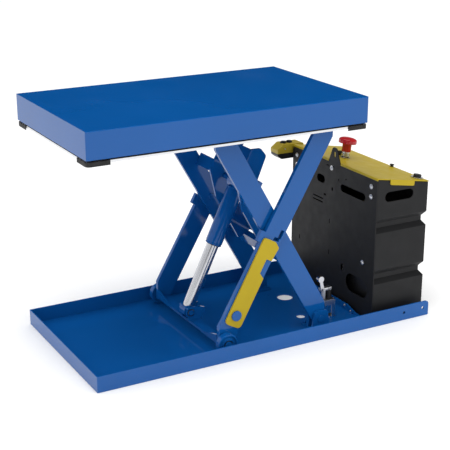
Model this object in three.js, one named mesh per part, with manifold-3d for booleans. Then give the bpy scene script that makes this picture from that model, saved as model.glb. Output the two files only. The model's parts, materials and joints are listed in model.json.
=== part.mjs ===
// Battery-powered scissor lift table on a pan base, raised to the top of its travel.
// Millimetres, +Z up. X runs from the roller end (-X) to the power unit (+X), Y across the table.
// The origin is on the underside of the pan, in the middle of the table's length and width.
// "front" in a name is the -Y side and "back" the +Y side.

import * as THREE from 'three';
import { RoundedBoxGeometry } from 'three/addons/geometries/RoundedBoxGeometry.js';
import { mergeVertices } from 'three/addons/utils/BufferGeometryUtils.js';
import Module from 'manifold-3d';

const wasm = await Module();
wasm.setup();

const degrees = THREE.MathUtils.degToRad;
const QUARTER = Math.PI / 2;

// ---------------------------------------------------------------- driving dimensions

const GAP = 0.3;                          // clearance between pieces that touch
const OVER = 5;                           // how far a cutter runs past what it cuts
const ROUND = 24;                         // sides of a pin, hole or roller
const FINE = 32;                          // sides of a large round piece

const BASE_LEFT = -590;
const BASE_RIGHT = 594;
const BASE_HALF_WIDTH = 280.5;
const BASE_FLOOR = 3.5;                   // thickness of the pan's floor
const BASE_FLANGE = 4;                    // thickness of its upturned flanges
const BASE_HEIGHT = 50.6;
const ON_FLOOR = BASE_FLOOR + GAP;

const DECK_LENGTH = 914.4;
const DECK_LEFT = -594;
const DECK_RIGHT = DECK_LEFT + DECK_LENGTH;
const DECK_HALF_WIDTH = 276;
const DECK_TOP = 764;
const DECK_PLATE = 5;
const DECK_WALL = 4;
const DECK_SKIRT = 81;
const DECK_UNDERSIDE = DECK_TOP - DECK_PLATE - GAP;

const GUARD_TOP = DECK_TOP - DECK_SKIRT - 4.5;
const GUARD_INSET = 3;                    // rail's face behind the skirt's face
const GUARD_CORNER = 70;                  // length of each arm of a rubber corner
const GUARD_RADIUS = 14;                  // its outer rounding

const LEG_LENGTH = 746;                   // between the two end pins of one leg
const LEG_HALF = LEG_LENGTH / 2;
const LEG_SLOPE = degrees(61.4);
const LEG_TILT = degrees(1.35);           // the bar lies this much flatter than its line of pins
const LEG_HALF_WIDTH = 34;
const LEG_PLATE = 14;
const LEG_END_RADIUS = 22;
const LEG_END_FLAT = 19;                  // from an end pin to the upright cut beside it
const INNER_LEG = [190, 190 + LEG_PLATE]; // faces of an inner leg, from the middle plane
const OUTER_LEG = [208, 208 + LEG_PLATE];
const CENTRE_SKIN = 4;                    // metal left outside the centre pin

const PIN_RADIUS = 12;
const FIXED_PIVOT_X = 212.4;
const PIVOT_Z = 38;
const CENTRE_X = FIXED_PIVOT_X - LEG_HALF * Math.cos(LEG_SLOPE);
const CENTRE_Z = PIVOT_Z + LEG_HALF * Math.sin(LEG_SLOPE);
const ROLLER_X = 2 * CENTRE_X - FIXED_PIVOT_X;
const DECK_PIVOT_Z = 2 * CENTRE_Z - PIVOT_Z;
const LOWER_ROLLER = { radius: 34, y: [225, 247] };
const UPPER_ROLLER = { radius: 30, y: [206, 230] };

const RAM_PIN = { x: -16, z: 29, radius: 9 };       // from the lower roller stubs
const RAM_RADIUS = 19.5;
const RAM_INSIDE = 46;                    // length of ram left in the barrel at full height
const BARREL_PIN = { along: -93.5, above: 42, radius: 10 };   // in the inner legs' frame
const BARREL_RADIUS = 27;
const BARREL_BORE = 20.3;
const BARREL_START = 228;                 // from the ram's pin to the barrel's lower rim
const BRACKET_EAR = [82, 90];             // faces of one ear of the cylinder's bracket
const CROSS_BAR = [126, 174];             // edges of the inner legs' cross bar, in their frame

const PROP_PIN = { along: -283, above: 7, head: 16.5, shank: 8 };
const PROP_PLATE = 6;

const UNIT_FRONT = 388;                   // face of the power unit towards the scissors
const UNIT_BACK = 590;
const UNIT_HALF_WIDTH = 248;
const UNIT_FRONT_TOP = 481;
const SHEET = 3;
const LID_FRONT = 489;                    // height of the lid's top face at its front edge
const LID_FALL = 0.167;                   // drop of the lid for each millimetre of X
const LID_TILT = Math.atan(LID_FALL);
const LID_GAP = 1;                        // room for the hinged edge to swing over the cover
const LIFTING_EYE = { y: -7.5, shoulder: 495, top: 534 };
const ESTOP = { x: 471, y: 52 };

// ---------------------------------------------------------------- materials

const finish = (color, roughness, metalness) =>
  () => new THREE.MeshStandardMaterial({ color, roughness, metalness });

const bluePaint = finish(0x2a64ad, 0.35, 0.1);
const blackSheet = finish(0x3b3d40, 0.55, 0.2);
const yellowPaint = finish(0xd8b62f, 0.45, 0.1);
const chrome = finish(0xd9dcdf, 0.12, 1.0);
const zinc = finish(0xb9bec2, 0.35, 0.9);
const darkSteel = finish(0x4a4d50, 0.45, 0.8);
const aluminium = finish(0xd2d5d8, 0.4, 0.8);
const rubber = finish(0x1d1e20, 0.8, 0.0);
const blackPlastic = finish(0x202124, 0.5, 0.0);
const yellowPlastic = finish(0xd9b93a, 0.5, 0.0);
const redPlastic = finish(0xb3232b, 0.4, 0.0);
const greyPlastic = finish(0x8f9396, 0.5, 0.0);

// ---------------------------------------------------------------- solids

// A closed geometry as a solid that can be joined and cut.
function solidOf(geometry) {
  const bare = geometry.clone();
  bare.deleteAttribute('normal');
  bare.deleteAttribute('uv');
  const merged = mergeVertices(bare, 1e-4);
  const vertProperties = new Float32Array(merged.attributes.position.array);
  const triVerts = new Uint32Array(merged.index.array);
  return new wasm.Manifold(new wasm.Mesh({ numProp: 3, vertProperties, triVerts }));
}

function geometryOf(solid) {
  const { vertProperties, triVerts } = solid.getMesh();
  const geometry = new THREE.BufferGeometry();
  geometry.setAttribute('position', new THREE.BufferAttribute(new Float32Array(vertProperties), 3));
  geometry.setIndex(new THREE.BufferAttribute(new Uint32Array(triVerts), 1));
  geometry.computeVertexNormals();
  return geometry;
}

const join = (first, ...others) => others.reduce((sum, next) => sum.add(next), first);
const cut = (first, ...others) => others.reduce((rest, next) => rest.subtract(next), first);

function piece(name, solid, material) {
  const mesh = new THREE.Mesh(geometryOf(solid), material());
  mesh.name = name;
  return mesh;
}

function group(...children) {
  const result = new THREE.Group();
  result.add(...children);
  return result;
}

// Puts a geometry that is centred on the origin in the middle of three ranges.
function centred(geometry, ...ranges) {
  return solidOf(geometry.translate(...ranges.map(([low, high]) => (low + high) / 2)));
}

const length = ([low, high]) => high - low;
const grown = ([low, high], by) => [low - by, high + by];

const block = (x, y, z) => centred(new THREE.BoxGeometry(length(x), length(y), length(z)), x, y, z);

const softBlock = (x, y, z, radius) =>
  centred(new RoundedBoxGeometry(length(x), length(y), length(z), 1, radius), x, y, z);

// Round bars along Y, X and Z.
const rod = (radius, range, sides) => new THREE.CylinderGeometry(radius, radius, length(range), sides);

const barY = (x, z, radius, y, sides = ROUND) => centred(rod(radius, y, sides), [x, x], y, [z, z]);

const barX = (y, z, radius, x, sides = ROUND) =>
  centred(rod(radius, x, sides).rotateZ(QUARTER), x, [y, y], [z, z]);

const barZ = (x, y, radius, z, sides = ROUND) =>
  centred(rod(radius, z, sides).rotateX(QUARTER), [x, x], [y, y], z);

const extrusion = (shape, depth) =>
  new THREE.ExtrudeGeometry(shape, { depth, bevelEnabled: false, curveSegments: 4 });

// Plates cut from a drawing: in X and Z for plateY, Y and Z for plateX, X and Y for plateZ.
const plateY = (shape, y) => solidOf(extrusion(shape, length(y)).rotateX(Math.PI / 2).translate(0, y[1], 0));

const plateX = (shape, x) =>
  solidOf(extrusion(shape, length(x)).rotateX(Math.PI / 2).rotateZ(Math.PI / 2).translate(x[0], 0, 0));

const plateZ = (shape, z) => solidOf(extrusion(shape, length(z)).translate(0, 0, z[0]));

// A polygon whose corners may be rounded: each point is [x, y] or [x, y, radius].
function outline(points) {
  const shape = new THREE.Shape();
  points.forEach(([x, y, radius = 0], index) => {
    const corner = new THREE.Vector2(x, y);
    const next = points[(index + 1) % points.length];
    const before = new THREE.Vector2(...points.at(index - 1).slice(0, 2)).sub(corner).normalize();
    const after = new THREE.Vector2(...next.slice(0, 2)).sub(corner).normalize();
    const run = radius / Math.tan(Math.acos(before.dot(after)) / 2);
    const enter = before.multiplyScalar(run).add(corner);
    const leave = after.multiplyScalar(run).add(corner);
    if (index === 0) {
      shape.moveTo(enter.x, enter.y);
    } else {
      shape.lineTo(enter.x, enter.y);
    }
    if (radius > 0) {
      shape.quadraticCurveTo(corner.x, corner.y, leave.x, leave.y);
    }
  });
  shape.closePath();
  return shape;
}

// A slot with round ends centred at (x, y), its length turned from the first axis by "turn".
function slot(x, y, slotLength, width, turn = 0) {
  const shape = new THREE.Shape();
  const run = (slotLength - width) / 2;
  for (const end of [1, -1]) {
    const start = turn - end * QUARTER;
    const centre = [x + end * run * Math.cos(turn), y + end * run * Math.sin(turn)];
    shape.absarc(...centre, width / 2, start, start + Math.PI);
  }
  return shape;
}

// The two sides of the table, and a range of Y on one of them.
const SIDES = [['front', -1], ['back', 1]];
const onSide = (sign, [near, far]) => (sign < 0 ? [-far, -near] : [near, far]);
const bothSides = (far) => [-far, far];

// ---------------------------------------------------------------- base

function basePan() {
  const width = bothSides(BASE_HALF_WIDTH);
  const floor = block([BASE_LEFT, BASE_RIGHT - 8], width, [0, BASE_FLOOR]);
  const endFlange = block([BASE_LEFT, BASE_LEFT + BASE_FLANGE], width, [0, BASE_HEIGHT]);
  const sideShape = outline([
    [BASE_LEFT, 0], [BASE_RIGHT, 0, 3], [BASE_RIGHT, BASE_HEIGHT, 14], [BASE_LEFT, BASE_HEIGHT],
  ]);
  const wall = [BASE_HALF_WIDTH - BASE_FLANGE, BASE_HALF_WIDTH];
  const sideFlanges = SIDES.map(([, sign]) => plateY(sideShape, onSide(sign, wall)));
  const floorHoles = [[252, 69, 27], [211, -97, 15], [207, -144, 6], [211, 112, 2.5]];
  const anchorHoles = [[571, 28.6], [495, 26.2]];
  const anchorHole = 4.5;
  return cut(
    join(floor, endFlange, ...sideFlanges),
    ...floorHoles.map(([x, y, radius]) => barZ(x, y, radius, [-OVER, BASE_FLOOR + OVER])),
    ...anchorHoles.map(([x, z]) => barY(x, z, anchorHole, grown(width, OVER))),
  );
}

// The angle across the pan that keeps the power unit in its place.
function unitStopAngle() {
  const top = 25.5;
  const back = 376;
  const uprightShape = outline([
    [-191, ON_FLOOR], [191, ON_FLOOR], [191, 8], [128, top, 8], [-128, top, 8], [-191, 8],
  ]);
  const foot = block([back - 4, UNIT_FRONT - 1], bothSides(128), [ON_FLOOR, ON_FLOOR + 4]);
  return join(plateX(uprightShape, [back - 4, back]), foot);
}

const BASE_EAR = [176, 188];
const BASE_OUTER_EAR = [206, 214];

// A fork for the foot of an inner leg: an ear on each side of it, on one foot plate.
function baseHingeBracket(sign) {
  const earShape = (rise) => outline([
    [FIXED_PIVOT_X - 34, ON_FLOOR], [FIXED_PIVOT_X + 34, ON_FLOOR],
    [FIXED_PIVOT_X + 26, PIVOT_Z + rise, 14], [FIXED_PIVOT_X - 22, PIVOT_Z + rise, 14],
  ]);
  const inner = plateY(earShape(22), onSide(sign, BASE_EAR));
  const outer = plateY(earShape(28), onSide(sign, BASE_OUTER_EAR));
  const footLength = grown([FIXED_PIVOT_X, FIXED_PIVOT_X], 34);
  const foot = block(footLength, onSide(sign, [150, BASE_OUTER_EAR[1]]), [ON_FLOOR, ON_FLOOR + 5]);
  const boreRange = onSide(sign, [BASE_EAR[0] - OVER, BASE_OUTER_EAR[1] + OVER]);
  const bore = barY(FIXED_PIVOT_X, PIVOT_Z, PIN_RADIUS + GAP, boreRange);
  return cut(join(inner, outer, foot), bore);
}

function base() {
  const parts = [
    piece('base_pan', basePan(), bluePaint),
    piece('unit_stop_angle', unitStopAngle(), bluePaint),
  ];
  for (const [side, sign] of SIDES) {
    const pinRange = onSide(sign, [BASE_EAR[0] - 3, BASE_OUTER_EAR[1] + 2]);
    const pin = barY(FIXED_PIVOT_X, PIVOT_Z, PIN_RADIUS, pinRange);
    parts.push(piece(`base_hinge_bracket_${side}`, baseHingeBracket(sign), bluePaint));
    parts.push(piece(`base_hinge_pin_${side}`, pin, bluePaint));
  }
  return group(...parts);
}

// ---------------------------------------------------------------- legs

// A leg is drawn about the centre pivot: the first axis runs up through its two end pins, the
// second square to it. "mirror" is 1 for an outer leg and -1 for an inner one, which leans the
// other way. Each end is cut upright beside its pin and rounded below it.
function legShape(mirror) {
  const barEdge = (along, side) => [along, side * LEG_HALF_WIDTH - along * Math.tan(LEG_TILT)];
  const upright = new THREE.Vector2(Math.sin(LEG_SLOPE), Math.cos(LEG_SLOPE));
  const outward = new THREE.Vector2(-Math.cos(LEG_SLOPE), Math.sin(LEG_SLOPE));
  const beside = new THREE.Vector2(-LEG_HALF, 0).addScaledVector(outward, LEG_END_FLAT);
  const slopeOfEdge = Math.tan(LEG_TILT);
  const rise = (barEdge(beside.x, 1)[1] - beside.y) / (upright.y + upright.x * slopeOfEdge);
  const shoulder = beside.clone().addScaledVector(upright, rise);
  const drop = Math.sqrt(LEG_END_RADIUS ** 2 - LEG_END_FLAT ** 2);
  const heel = beside.clone().addScaledVector(upright, -drop);
  const heelAngle = Math.atan2(heel.y, heel.x + LEG_HALF);
  const end = [shoulder.toArray()];
  const steps = 7;
  for (let step = 0; step <= steps; step += 1) {
    const angle = THREE.MathUtils.lerp(heelAngle, 1.5 * Math.PI, step / steps);
    end.push([-LEG_HALF + LEG_END_RADIUS * Math.cos(angle), LEG_END_RADIUS * Math.sin(angle)]);
  }
  end.push(barEdge(-LEG_HALF + 18, -1));
  const otherEnd = end.map(([along, across]) => [-along, -across]);
  return outline([...end, ...otherEnd].map(([along, across]) => [mirror * along, across]));
}

// A frame on the centre pivot, turned so that its X runs along the leg.
function legFrame(slope, ...children) {
  const frame = group(...children);
  frame.position.set(CENTRE_X, 0, CENTRE_Z);
  frame.rotation.y = slope;
  return frame;
}

// A frame within a leg's frame, turned from it about Y.
function turned(along, above, turn, ...children) {
  const frame = group(...children);
  frame.position.set(along, 0, above);
  frame.rotation.y = turn;
  return frame;
}

function pinBores(range, places) {
  return places.map((along) => barY(along, 0, PIN_RADIUS + GAP, grown(range, OVER)));
}

function innerLegPlate(sign) {
  const range = onSide(sign, INNER_LEG);
  return cut(plateY(legShape(-1), range), ...pinBores(range, [-LEG_HALF, 0, LEG_HALF]));
}

// The bracket that the barrel hangs in: two ears that run down to the cross bar, and the
// plates that tie them to each other and to the legs.
function cylinderBracket() {
  const end = CROSS_BAR[0] - GAP;
  const earShape = outline([
    [end, 34, 4], [-62, 34], [-100, 62, 10], [-158, 134, 14], [-190, 128, 8],
    [-206, 100, 6], [-143, 5, 8], [-52, -20, 6], [end, -20, 4],
  ]);
  const bossReach = 20;
  const legTie = outline([[-136, 6], [-124, 12], [-146, 46], [-158, 40]]);
  const sideParts = SIDES.flatMap(([, sign]) => [
    plateY(earShape, onSide(sign, BRACKET_EAR)),
    barY(BARREL_PIN.along, BARREL_PIN.above, bossReach, onSide(sign, [BRACKET_EAR[0], BRACKET_EAR[1] + 6])),
    plateY(legTie, onSide(sign, [BRACKET_EAR[0], INNER_LEG[0] - GAP])),
  ]);
  const tie = plateY(outline([[-161, 39], [-202, 103], [-196, 107], [-155, 43]]), bothSides(BRACKET_EAR[1]));
  const web = plateY(outline([[5, 28], [end, 28], [end, 34], [5, 34]]), bothSides(BRACKET_EAR[1]));
  return join(...sideParts, tie, web);
}

// The flat bar with a lip that ties the inner legs and the bracket below the centre pivot.
function innerCrossBar() {
  const [start, end] = CROSS_BAR;
  const thick = 6;
  const section = outline([
    [start, 2], [end, 2], [end, 2 + thick], [start + thick, 2 + thick], [start + thick, 22], [start, 22],
  ]);
  return plateY(section, bothSides(INNER_LEG[0] - GAP));
}

function innerLegs() {
  const axle = barY(-LEG_HALF, 0, PIN_RADIUS, bothSides(UPPER_ROLLER.y[1] + 3));
  return legFrame(
    LEG_SLOPE,
    ...SIDES.map(([side, sign]) => piece(`inner_leg_${side}`, innerLegPlate(sign), bluePaint)),
    piece('upper_roller_axle', axle, zinc),
    piece('cylinder_bracket', cylinderBracket(), bluePaint),
    piece('inner_cross_bar', innerCrossBar(), bluePaint),
  );
}

// Each outer leg carries a stub axle for its lower roller, and its centre bore stops short of the
// outside. The front leg also has a latch slot near the centre and the bore for the prop's pin.
function outerLegPlate(sign) {
  const range = onSide(sign, OUTER_LEG);
  const tab = block([-48, -12], range, [30, 50]);
  const stub = barY(-LEG_HALF, 0, PIN_RADIUS, onSide(sign, [OUTER_LEG[0] + 2, LOWER_ROLLER.y[1] + 3]));
  const blind = onSide(sign, [OUTER_LEG[0] - OVER, OUTER_LEG[1] - CENTRE_SKIN]);
  const plate = cut(
    join(plateY(legShape(1), range), tab, stub),
    barY(0, 0, PIN_RADIUS + GAP, blind),
    barY(LEG_HALF, 0, PIN_RADIUS + GAP, grown(range, OVER)),
  );
  if (sign > 0) {
    return plate;
  }
  const through = grown(range, OVER);
  const latchSlot = outline([
    [-26, -4], [-16, -4], [-16, -16], [11, -16], [11, -28], [-16, -28], [-16, -24], [-26, -24],
  ]);
  const propBore = barY(PROP_PIN.along, PROP_PIN.above, PROP_PIN.shank + GAP, through);
  return cut(plate, plateY(latchSlot, through), propBore);
}

// The flat plate between the feet of the outer legs, with a gusset at each leg and the ram's two
// ears. It is drawn about the middle of the lower roller stubs, with the legs raised.
function footCrossPlate() {
  const reach = OUTER_LEG[0] - GAP;
  const edge = -20;                       // left edge of the plate
  const z = [-6, 2];
  const ears = SIDES.flatMap(([, sign]) => {
    const web = outline([
      [edge, -2], [16, -2], [38, 37, 4], [20, 43, 3], [0, 46, 8], [-28, 46, 8], [-31, 22, 6],
    ]);
    return plateY(web, onSide(sign, [20, 28]));
  });
  const gussets = SIDES.map(([, sign]) => {
    const shape = outline([[sign * (reach - 89), 0], [sign * reach, 0], [sign * reach, 24]]);
    return plateX(shape, [edge, edge + 6]);
  });
  const bore = barY(RAM_PIN.x, RAM_PIN.z, RAM_PIN.radius + GAP, bothSides(40));
  return cut(join(block([edge, 14], bothSides(reach), z), ...gussets, ...ears), bore);
}

// ---------------------------------------------------------------- maintenance prop

const PROP_FACE = -OUTER_LEG[1] - GAP;    // the side of the prop against the leg

function propPlate() {
  const range = [PROP_FACE - PROP_PLATE, PROP_FACE];
  const shape = outline([
    [-318, -27, 15], [-147, -27, 2], [-136, -7, 3], [-88, -7, 3], [-88, -27, 2],
    [-42, -32, 8], [-29, -12, 12], [-29, 33, 10], [-318, 33, 15],
  ]);
  const bore = barY(PROP_PIN.along, PROP_PIN.above, PROP_PIN.shank + GAP, grown(range, OVER));
  return cut(plateY(shape, range), bore);
}

function propPin() {
  const under = PROP_FACE - PROP_PLATE - GAP;
  const head = barY(PROP_PIN.along, PROP_PIN.above, PROP_PIN.head, [under - 5, under], FINE);
  const shank = barY(PROP_PIN.along, PROP_PIN.above, PROP_PIN.shank, [under - 2, -OUTER_LEG[0] + 1]);
  return join(head, shank);
}

function outerLegs() {
  const parts = [];
  for (const [side, sign] of SIDES) {
    const pinRange = onSide(sign, [INNER_LEG[0] - 2, OUTER_LEG[1] - CENTRE_SKIN - GAP]);
    const centrePin = barY(0, 0, PIN_RADIUS, pinRange);
    parts.push(piece(`outer_leg_${side}`, outerLegPlate(sign), bluePaint));
    parts.push(piece(`centre_pin_${side}`, centrePin, bluePaint));
  }
  const ramPin = barY(RAM_PIN.x, RAM_PIN.z, RAM_PIN.radius, bothSides(32));
  return legFrame(
    -LEG_SLOPE,
    ...parts,
    piece('maintenance_prop', propPlate(), yellowPaint),
    piece('prop_pin', propPin(), bluePaint),
    turned(
      -LEG_HALF, 0, LEG_SLOPE,
      piece('foot_cross_plate', footCrossPlate(), bluePaint),
      piece('ram_pin', ramPin, bluePaint),
    ),
  );
}

// ---------------------------------------------------------------- rollers

function roller({ radius, y }) {
  const half = length(y) / 2;
  const bore = PIN_RADIUS + GAP;
  const rim = 2;
  const profile = [
    [bore, -half], [radius - rim, -half], [radius, -half + rim],
    [radius, half - rim], [radius - rim, half], [bore, half], [bore, -half],
  ];
  return solidOf(new THREE.LatheGeometry(profile.map((point) => new THREE.Vector2(...point)), FINE));
}

function rollers() {
  const parts = SIDES.flatMap(([side, sign]) => {
    const place = (mesh, size, z) => {
      mesh.position.set(ROLLER_X, sign * (size.y[0] + size.y[1]) / 2, z);
      return mesh;
    };
    return [
      place(piece(`lower_roller_${side}`, roller(LOWER_ROLLER), bluePaint), LOWER_ROLLER, PIVOT_Z),
      place(piece(`upper_roller_${side}`, roller(UPPER_ROLLER), darkSteel), UPPER_ROLLER, DECK_PIVOT_Z),
    ];
  });
  return group(...parts);
}

// ---------------------------------------------------------------- hydraulic cylinder

// The cylinder is drawn along X from the ram's pin, then turned onto the line of its two pins.
function cylinder() {
  const foot = new THREE.Vector2(ROLLER_X + RAM_PIN.x, PIVOT_Z + RAM_PIN.z);
  const head = new THREE.Vector2(BARREL_PIN.along, BARREL_PIN.above)
    .rotateAround(new THREE.Vector2(0, 0), -LEG_SLOPE)
    .add(new THREE.Vector2(CENTRE_X, CENTRE_Z));
  const reach = head.distanceTo(foot);
  const rodEye = { radius: 20, y: bothSides(19) };
  const topEye = { radius: BARREL_RADIUS, y: bothSides(25) };
  const wide = bothSides(40);
  const ram = cut(
    join(
      barY(0, 0, rodEye.radius, rodEye.y),
      barX(0, 0, RAM_RADIUS, [8, BARREL_START + RAM_INSIDE], FINE),
    ),
    barY(0, 0, RAM_PIN.radius + GAP, wide),
  );
  const barrel = cut(
    join(
      barX(0, 0, BARREL_RADIUS, [BARREL_START, reach - 4], FINE),
      barY(reach, 0, topEye.radius, topEye.y),
    ),
    barX(0, 0, BARREL_BORE, [BARREL_START - OVER, reach - 34], FINE),
    barY(reach, 0, BARREL_PIN.radius + GAP, wide),
  );
  const pin = barY(reach, 0, BARREL_PIN.radius, bothSides(BRACKET_EAR[0] - 1));
  const line = group(
    piece('cylinder_ram', ram, chrome),
    piece('cylinder_barrel', barrel, bluePaint),
    piece('cylinder_pin', pin, bluePaint),
  );
  line.position.set(foot.x, 0, foot.y);
  line.rotation.y = -head.sub(foot).angle();
  return line;
}

// ---------------------------------------------------------------- platform

function platformDeck() {
  const x = [DECK_LEFT, DECK_RIGHT];
  const y = bothSides(DECK_HALF_WIDTH);
  const bottom = DECK_TOP - DECK_SKIRT;
  const hollow = block(grown(x, -DECK_WALL), grown(y, -DECK_WALL), [bottom - OVER, DECK_TOP - DECK_PLATE]);
  return cut(block(x, y, [bottom, DECK_TOP]), hollow);
}

// The rail that an upper roller runs under: a flat track hung from the deck by a web.
function rollerTrack(sign) {
  const ends = [-545, -95];
  const track = DECK_PIVOT_Z + UPPER_ROLLER.radius + 0.5;
  const flange = block(ends, onSide(sign, [205, 233]), [track, track + 6]);
  const web = block(ends, onSide(sign, [228, 233]), [track, DECK_UNDERSIDE]);
  return join(flange, web);
}

const DECK_EAR = [224.5, 234.5];

function deckHingeBracket(sign) {
  const earShape = outline([
    [FIXED_PIVOT_X + 44, DECK_UNDERSIDE], [FIXED_PIVOT_X - 44, DECK_UNDERSIDE],
    [FIXED_PIVOT_X - 20, DECK_PIVOT_Z - 21, 16], [FIXED_PIVOT_X + 20, DECK_PIVOT_Z - 21, 16],
  ]);
  const ear = plateY(earShape, onSide(sign, DECK_EAR));
  const footLength = grown([FIXED_PIVOT_X, FIXED_PIVOT_X], 44);
  const footWidth = onSide(sign, [DECK_EAR[0], DECK_EAR[1] + 26]);
  const foot = block(footLength, footWidth, [DECK_UNDERSIDE - 7, DECK_UNDERSIDE]);
  const bore = barY(FIXED_PIVOT_X, DECK_PIVOT_Z, PIN_RADIUS + GAP, onSide(sign, grown(DECK_EAR, OVER)));
  return cut(join(ear, foot), bore);
}

function platform() {
  const parts = [piece('platform_deck', platformDeck(), bluePaint)];
  for (const [side, sign] of SIDES) {
    const pinRange = onSide(sign, [OUTER_LEG[0] - 1, DECK_EAR[1] + 3]);
    const pin = barY(FIXED_PIVOT_X, DECK_PIVOT_Z, PIN_RADIUS, pinRange);
    parts.push(piece(`roller_track_${side}`, rollerTrack(sign), bluePaint));
    parts.push(piece(`deck_hinge_bracket_${side}`, deckHingeBracket(sign), bluePaint));
    parts.push(piece(`deck_hinge_pin_${side}`, pin, zinc));
  }
  return group(...parts);
}

// ---------------------------------------------------------------- toe guard

// A rectangle with rounded corners, set back from the deck's outline.
function deckRing(inset, radius) {
  const [left, right] = grown([DECK_LEFT, DECK_RIGHT], -inset);
  const [near, far] = grown(bothSides(DECK_HALF_WIDTH), -inset);
  return outline([[left, near, radius], [right, near, radius], [right, far, radius], [left, far, radius]]);
}

function guardRail() {
  const wall = 3;
  const z = [GUARD_TOP - 7, GUARD_TOP];
  const radius = GUARD_RADIUS - GUARD_INSET;
  const hollow = plateZ(deckRing(GUARD_INSET + wall, radius - wall), grown(z, OVER));
  return cut(plateZ(deckRing(GUARD_INSET, radius), z), hollow);
}

// A rubber corner with its outer corner at the origin and its arms along +X and +Y.
function guardCorner() {
  const arm = GUARD_INSET - GAP;
  const shape = outline([
    [0, 0, GUARD_RADIUS], [GUARD_CORNER, 0, 1], [GUARD_CORNER, arm],
    [arm, arm, GUARD_RADIUS - arm], [arm, GUARD_CORNER], [0, GUARD_CORNER, 1],
  ]);
  return plateZ(shape, [GUARD_TOP - 13, GUARD_TOP]);
}

function toeGuard() {
  const corners = [
    ['front_left', DECK_LEFT, -1], ['front_right', DECK_RIGHT, -1],
    ['back_right', DECK_RIGHT, 1], ['back_left', DECK_LEFT, 1],
  ];
  const parts = corners.map(([place, x, sign], quarter) => {
    const corner = piece(`toe_guard_corner_${place}`, guardCorner(), rubber);
    corner.position.set(x, sign * DECK_HALF_WIDTH, 0);
    corner.rotation.z = quarter * Math.PI / 2;
    return corner;
  });
  return group(piece('toe_guard_rail', guardRail(), aluminium), ...parts);
}

// ---------------------------------------------------------------- power unit

function unitFrontPlate() {
  const half = UNIT_HALF_WIDTH;
  const { y, shoulder, top } = LIFTING_EYE;
  const shape = outline([
    [-half, ON_FLOOR], [half, ON_FLOOR], [half, UNIT_FRONT_TOP - 10], [half - 10, UNIT_FRONT_TOP],
    [y + 34, UNIT_FRONT_TOP, 4], [y + 29, shoulder, 8], [y + 11, top, 10], [y - 11, top, 10],
    [y - 29, shoulder, 8], [y - 34, UNIT_FRONT_TOP, 4], [-half, UNIT_FRONT_TOP, 4],
  ]);
  const openings = [
    slot(y, 511, 21, 9, QUARTER),
    slot(-117, 409, 140, 26),
    slot(70, 410, 48, 28),
    slot(-155, 98, 125, 62),
    slot(-69, 135, 24, 12, QUARTER),
    slot(84.5, 342, 61, 4.5),
    slot(84.5, 329, 61, 4.5),
    slot(1, 390, 13, 8, QUARTER),
    slot(44, 360, 14, 7),
    slot(10.8, 274.5, 16, 4, QUARTER),
    slot(10.8, 164.6, 16, 4, QUARTER),
    slot(195.5, 163.3, 16, 4, QUARTER),
    slot(-35, 431, 7, 6),
    slot(-77, 443, 7, 6),
    slot(31, 466, 14, 4),
  ];
  const thickness = [UNIT_FRONT, UNIT_FRONT + SHEET];
  return cut(plateX(shape, thickness), ...openings.map((opening) => plateX(opening, grown(thickness, OVER))));
}

// A closed block between two rings of four corners, listed anticlockwise from above.
function frustum(lower, lowerZ, upper, upperZ) {
  const low = lower.map((corner) => [...corner, lowerZ]);
  const high = upper.map((corner) => [...corner, upperZ]);
  const quads = [[low[3], low[2], low[1], low[0]], high];
  for (let index = 0; index < 4; index += 1) {
    const next = (index + 1) % 4;
    quads.push([low[index], low[next], high[next], high[index]]);
  }
  const triangles = quads.flatMap(([a, b, c, d]) => [a, b, c, a, c, d]);
  const geometry = new THREE.BufferGeometry();
  geometry.setAttribute('position', new THREE.Float32BufferAttribute(triangles.flat(), 3));
  return solidOf(geometry);
}

// The cover's walls from bottom to top: each height, and how far the wall is pressed in there.
function coverRings() {
  const depth = 12;
  const grooves = [155, 329].flatMap((centre) => [
    [centre - 23.5, 0], [centre - 8, depth], [centre + 8, depth], [centre + 23.5, 0],
  ]);
  return [[ON_FLOOR, 0], ...grooves, [LID_FRONT + OVER, 0]];
}

// A grooved block from "front" to the back of the unit, its three walls set back by "inset".
function groovedBlock(front, inset) {
  const ringAt = (pressed) => {
    const half = UNIT_HALF_WIDTH - inset - pressed;
    const back = UNIT_BACK - inset - pressed;
    return [[front, -half], [back, -half], [back, half], [front, half]];
  };
  const rings = coverRings();
  const levels = rings.slice(1).map(([top, pressed], index) => {
    const [bottom, pressedBelow] = rings[index];
    return frustum(ringAt(pressedBelow), bottom, ringAt(pressed), top);
  });
  return join(...levels);
}

const lidTop = (x) => LID_FRONT - LID_FALL * (x - UNIT_FRONT);

function unitCover() {
  const front = UNIT_FRONT + SHEET + GAP;
  const slope = (x) => [x, lidTop(x) - SHEET - LID_GAP];
  const aboveSlope = plateY(outline([slope(300), slope(700), [700, 600], [300, 600]]), bothSides(300));
  const handSlots = plateY(slot(476, 423, 111, 32), bothSides(300));
  return cut(groovedBlock(front, 0), groovedBlock(front - OVER, SHEET), aboveSlope, handSlots);
}

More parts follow.
